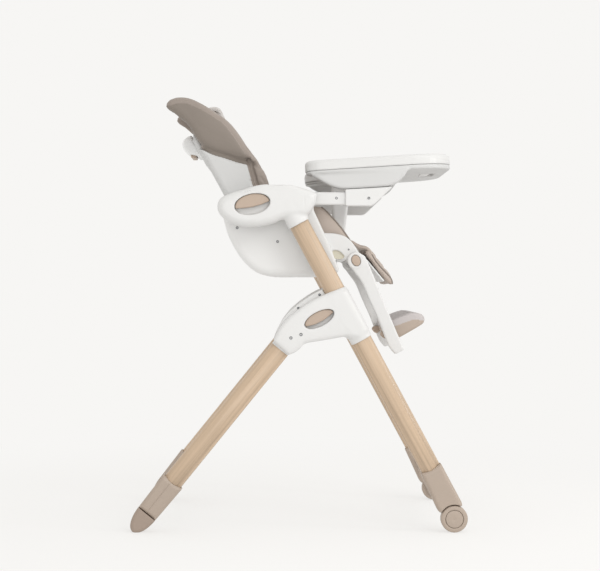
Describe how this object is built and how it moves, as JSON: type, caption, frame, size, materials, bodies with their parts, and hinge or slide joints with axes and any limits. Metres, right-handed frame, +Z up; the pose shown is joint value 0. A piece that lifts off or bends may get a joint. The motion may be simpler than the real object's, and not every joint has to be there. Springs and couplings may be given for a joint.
{
  "type": "baby high chair",
  "caption": "Folding baby high chair with sloping wooden legs, wheels, reclining padded seat, legrest, footplate and removable tray.",
  "frame": {"origin": "on the floor, under the middle of the bounding box", "axes": "+X forward to the tray and footplate, +Y to the child's left, +Z up"},
  "size_m": [0.8017, 0.58, 1.0485],
  "materials": {
    "white_plastic": "satin moulded, very fine spark-eroded texture",
    "wood": "pale beech, straight grain along the leg, satin lacquer",
    "taupe_plastic": "satin moulded",
    "taupe_rubber": "matt, soft",
    "tan_plastic": "satin moulded",
    "leatherette": "fine-grained artificial leather over foam, piped edges",
    "webbing": "woven strap",
    "steel": "zinc plated"
  },
  "bodies": {
    "front_frame": {"front_leg_right": "wood", "front_leg_left": "wood", "fold_housing_outer_right": "white_plastic", "fold_housing_outer_left": "white_plastic", "fold_housing_inner_right": "white_plastic", "fold_housing_inner_left": "white_plastic", "fold_pivot_pin_right": "steel", "fold_pivot_pin_left": "steel", "front_foot_sleeve_right": "taupe_plastic", "front_foot_sleeve_left": "taupe_plastic", "wheel_axle_right": "steel", "wheel_axle_left": "steel", "front_crossbar": "white_plastic"},
    "rear_legs": {"rear_leg_right": "wood", "rear_leg_left": "wood", "rear_knuckle_right": "white_plastic", "rear_knuckle_left": "white_plastic", "rear_foot_sleeve_right": "taupe_plastic", "rear_foot_sleeve_left": "taupe_plastic", "rear_foot_tip_right": "taupe_rubber", "rear_foot_tip_left": "taupe_rubber", "rear_crossbar": "white_plastic"},
    "seat_carriage": {"armrest_housing_right": "white_plastic", "armrest_housing_left": "white_plastic", "side_frame_right": "white_plastic", "side_frame_left": "white_plastic", "seat_shell": "white_plastic", "seat_pan": "white_plastic", "recline_axle": "steel", "seat_cushion": "leatherette", "crotch_buckle": "white_plastic"},
    "backrest": {"backrest_shell": "white_plastic", "back_cushion": "leatherette", "recline_handle": "white_plastic", "harness_strap_right": "webbing", "harness_strap_left": "webbing"},
    "recline_trigger": {"recline_trigger": "tan_plastic"},
    "legrest": {"legrest_arm_right": "white_plastic", "legrest_arm_left": "white_plastic", "legrest_panel": "white_plastic", "leg_pad": "leatherette"},
    "footplate": {"footplate": "taupe_plastic", "footplate_clip_right": "tan_plastic", "footplate_clip_left": "tan_plastic"},
    "tray": {"tray_base": "white_plastic", "tray_bracket_right": "white_plastic", "tray_bracket_left": "white_plastic", "crotch_post": "white_plastic"},
    "tray_top": {"tray_top": "white_plastic"},
    "tray_release": {"tray_release": "white_plastic"},
    "wheel_right": {"wheel_right": "taupe_rubber", "wheel_cap_right": "taupe_plastic"},
    "legrest_button_right": {"legrest_button_right": "tan_plastic"},
    "height_lever_right": {"height_lever_right": "tan_plastic"},
    "fold_lever_right": {"fold_lever_right": "tan_plastic"},
    "wheel_left": {"wheel_left": "taupe_rubber", "wheel_cap_left": "taupe_plastic"},
    "legrest_button_left": {"legrest_button_left": "tan_plastic"},
    "height_lever_left": {"height_lever_left": "tan_plastic"},
    "fold_lever_left": {"fold_lever_left": "tan_plastic"}
  },
  "joints": [
    {"name": "rear_fold", "type": "hinge", "parent": "front_frame", "child": "rear_legs", "pos_m": [-0.022, 0, 0.463], "axis": [0, -1, 0], "range_deg": [0, 62]},
    {"name": "seat_height", "type": "slide", "parent": "front_frame", "child": "seat_carriage", "axis": [0.4741, 0, -0.8805], "range_m": [0, 0.12]},
    {"name": "recline", "type": "hinge", "parent": "seat_carriage", "child": "backrest", "pos_m": [-0.09, 0, 0.65], "axis": [0, -1, 0], "range_deg": [0, 20]},
    {"name": "recline_trigger_squeeze", "type": "slide", "parent": "backrest", "child": "recline_trigger", "axis": [0, 0, 1], "range_m": [0, 0.005], "stiffness_N_per_m": 400, "springref_m": -0.004},
    {"name": "legrest_tilt", "type": "hinge", "parent": "seat_carriage", "child": "legrest", "pos_m": [0.1373, 0, 0.6461], "axis": [0, -1, 0], "range_deg": [0, 55]},
    {"name": "footplate_slide", "type": "slide", "parent": "legrest", "child": "footplate", "axis": [-0.4337, 0, 0.9011], "range_m": [0, 0.06]},
    {"name": "tray_slide", "type": "slide", "parent": "seat_carriage", "child": "tray", "axis": [-1, 0, 0], "range_m": [0, 0.05]},
    {"name": "tray_top_lift", "type": "slide", "parent": "tray", "child": "tray_top", "axis": [-0.0645, 0, 0.9979], "range_m": [0, 0.06]},
    {"name": "tray_release_pull", "type": "slide", "parent": "tray", "child": "tray_release", "axis": [0.9979, 0, 0.0645], "range_m": [0, 0.01], "stiffness_N_per_m": 400, "springref_m": -0.004},
    {"name": "wheel_spin_right", "type": "hinge", "parent": "front_frame", "child": "wheel_right", "pos_m": [0.3687, 0, 0.032], "axis": [0, 1, 0], "continuous": true},
    {"name": "legrest_button_press_right", "type": "slide", "parent": "legrest", "child": "legrest_button_right", "axis": [0, 1, 0], "range_m": [0, 0.003], "stiffness_N_per_m": 400, "springref_m": -0.003},
    {"name": "height_lever_squeeze_right", "type": "slide", "parent": "seat_carriage", "child": "height_lever_right", "axis": [-0.2028, 0, 0.9792], "range_m": [0, 0.006], "stiffness_N_per_m": 400, "springref_m": -0.004},
    {"name": "fold_lever_squeeze_right", "type": "slide", "parent": "front_frame", "child": "fold_lever_right", "axis": [-0.454, 0, 0.891], "range_m": [0, 0.006], "stiffness_N_per_m": 400, "springref_m": -0.004},
    {"name": "wheel_spin_left", "type": "hinge", "parent": "front_frame", "child": "wheel_left", "pos_m": [0.3687, 0, 0.032], "axis": [0, 1, 0], "continuous": true},
    {"name": "legrest_button_press_left", "type": "slide", "parent": "legrest", "child": "legrest_button_left", "axis": [0, -1, 0], "range_m": [0, 0.003], "stiffness_N_per_m": 400, "springref_m": -0.003},
    {"name": "height_lever_squeeze_left", "type": "slide", "parent": "seat_carriage", "child": "height_lever_left", "axis": [-0.2028, 0, 0.9792], "range_m": [0, 0.006], "stiffness_N_per_m": 400, "springref_m": -0.004},
    {"name": "fold_lever_squeeze_left", "type": "slide", "parent": "front_frame", "child": "fold_lever_left", "axis": [-0.454, 0, 0.891], "range_m": [0, 0.006], "stiffness_N_per_m": 400, "springref_m": -0.004}
  ]
}
